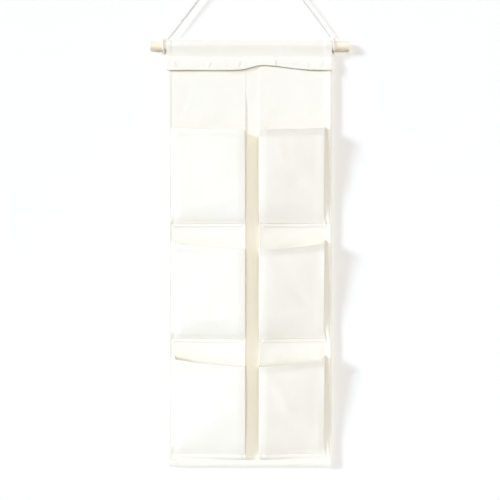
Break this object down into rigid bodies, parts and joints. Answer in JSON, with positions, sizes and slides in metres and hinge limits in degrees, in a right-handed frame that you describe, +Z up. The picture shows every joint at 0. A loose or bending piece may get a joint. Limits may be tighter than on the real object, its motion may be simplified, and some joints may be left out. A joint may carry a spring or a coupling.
{
  "type": "hanging wall organizer",
  "caption": "Canvas wall organizer with open pockets in two columns, a header sleeve on a wooden dowel and a hanging cord over a peg.",
  "frame": {"origin": "centre of the cord's bend over its peg, which is the point the organizer hangs from", "axes": "+X along the dowel to the viewer's right, +Y into the wall, +Z up"},
  "size_m": [0.38, 0.053, 1.024],
  "materials": {
    "canvas": "plain-woven unbleached cotton canvas",
    "cotton_cord": "twisted cotton cord",
    "dowel_wood": "bare pale beech, sanded",
    "peg_wood": "bare turned birch"
  },
  "bodies": {
    "hanger": {"hanging_peg": "peg_wood", "hanging_cord": "cotton_cord", "hitch_left": "cotton_cord", "hitch_right": "cotton_cord", "knot_left": "cotton_cord", "knot_right": "cotton_cord"},
    "dowel": {"dowel": "dowel_wood"},
    "cloth": {"header_sleeve": "canvas", "back_panel": "canvas", "side_hem_left": "canvas", "side_hem_right": "canvas", "bottom_hem": "canvas", "column_panel_left": "canvas", "column_panel_right": "canvas", "column_gusset_left": "canvas", "column_gusset_right": "canvas", "foot_band_top_left": "canvas", "foot_band_top_right": "canvas", "foot_band_middle_left": "canvas", "foot_band_middle_right": "canvas", "foot_band_bottom_left": "canvas", "foot_band_bottom_right": "canvas"},
    "flap": {"header_flap": "canvas"},
    "pocket_top_left": {"pocket_front_top_left": "canvas", "outer_gusset_top_left": "canvas", "inner_gusset_top_left": "canvas"},
    "pocket_top_right": {"pocket_front_top_right": "canvas", "outer_gusset_top_right": "canvas", "inner_gusset_top_right": "canvas"},
    "pocket_middle_left": {"pocket_front_middle_left": "canvas", "outer_gusset_middle_left": "canvas", "inner_gusset_middle_left": "canvas"},
    "pocket_middle_right": {"pocket_front_middle_right": "canvas", "outer_gusset_middle_right": "canvas", "inner_gusset_middle_right": "canvas"},
    "pocket_bottom_left": {"pocket_front_bottom_left": "canvas", "outer_gusset_bottom_left": "canvas", "inner_gusset_bottom_left": "canvas"},
    "pocket_bottom_right": {"pocket_front_bottom_right": "canvas", "outer_gusset_bottom_right": "canvas", "inner_gusset_bottom_right": "canvas"}
  },
  "joints": [
    {"name": "dowel_turn", "type": "hinge", "parent": "hanger", "child": "dowel", "pos_m": [-0.0022, 0, -0.209], "axis": [1, 0, 0], "continuous": true},
    {"name": "panel_swing", "type": "hinge", "parent": "hanger", "child": "cloth", "pos_m": [-0.0022, 0, -0.209], "axis": [-1, 0, 0], "range_deg": [0, 80]},
    {"name": "flap_lift", "type": "hinge", "parent": "cloth", "child": "flap", "pos_m": [-0.0022, -0.00388, -0.23], "axis": [-1, 0, 0], "range_deg": [0, 120]},
    {"name": "pocket_top_left_open", "type": "hinge", "parent": "cloth", "child": "pocket_top_left", "pos_m": [-0.07652, -0.01018, -0.5483], "axis": [0.9944, -0.1059, 0], "range_deg": [-5, 9], "stiffness_Nm_per_rad": 0.12, "springref_deg": -1.15, "deforming": ["outer_gusset_top_left", "inner_gusset_top_left"]},
    {"name": "pocket_top_right_open", "type": "hinge", "parent": "cloth", "child": "pocket_top_right", "pos_m": [0.07733, -0.01022, -0.5483], "axis": [0.9935, 0.1141, 0], "range_deg": [-5, 9], "stiffness_Nm_per_rad": 0.12, "springref_deg": -1.15, "deforming": ["outer_gusset_top_right", "inner_gusset_top_right"]},
    {"name": "pocket_middle_left_open", "type": "hinge", "parent": "cloth", "child": "pocket_middle_left", "pos_m": [-0.07652, -0.01063, -0.7673], "axis": [0.9937, -0.1117, 0], "range_deg": [-5, 9], "stiffness_Nm_per_rad": 0.12, "springref_deg": -1.15, "deforming": ["outer_gusset_middle_left", "inner_gusset_middle_left"]},
    {"name": "pocket_middle_right_open", "type": "hinge", "parent": "cloth", "child": "pocket_middle_right", "pos_m": [0.07733, -0.01067, -0.7673], "axis": [0.9927, 0.1203, 0], "range_deg": [-5, 9], "stiffness_Nm_per_rad": 0.12, "springref_deg": -1.15, "deforming": ["outer_gusset_middle_right", "inner_gusset_middle_right"]},
    {"name": "pocket_bottom_left_open", "type": "hinge", "parent": "cloth", "child": "pocket_bottom_left", "pos_m": [-0.07652, -0.00383, -0.9863], "axis": [0.9997, -0.0228, 0], "range_deg": [-5, 9], "stiffness_Nm_per_rad": 0.12, "springref_deg": -1.15, "deforming": ["outer_gusset_bottom_left", "inner_gusset_bottom_left"]},
    {"name": "pocket_bottom_right_open", "type": "hinge", "parent": "cloth", "child": "pocket_bottom_right", "pos_m": [0.07733, -0.00384, -0.9863], "axis": [0.9997, 0.0246, 0], "range_deg": [-5, 9], "stiffness_Nm_per_rad": 0.12, "springref_deg": -1.15, "deforming": ["outer_gusset_bottom_right", "inner_gusset_bottom_right"]}
  ]
}
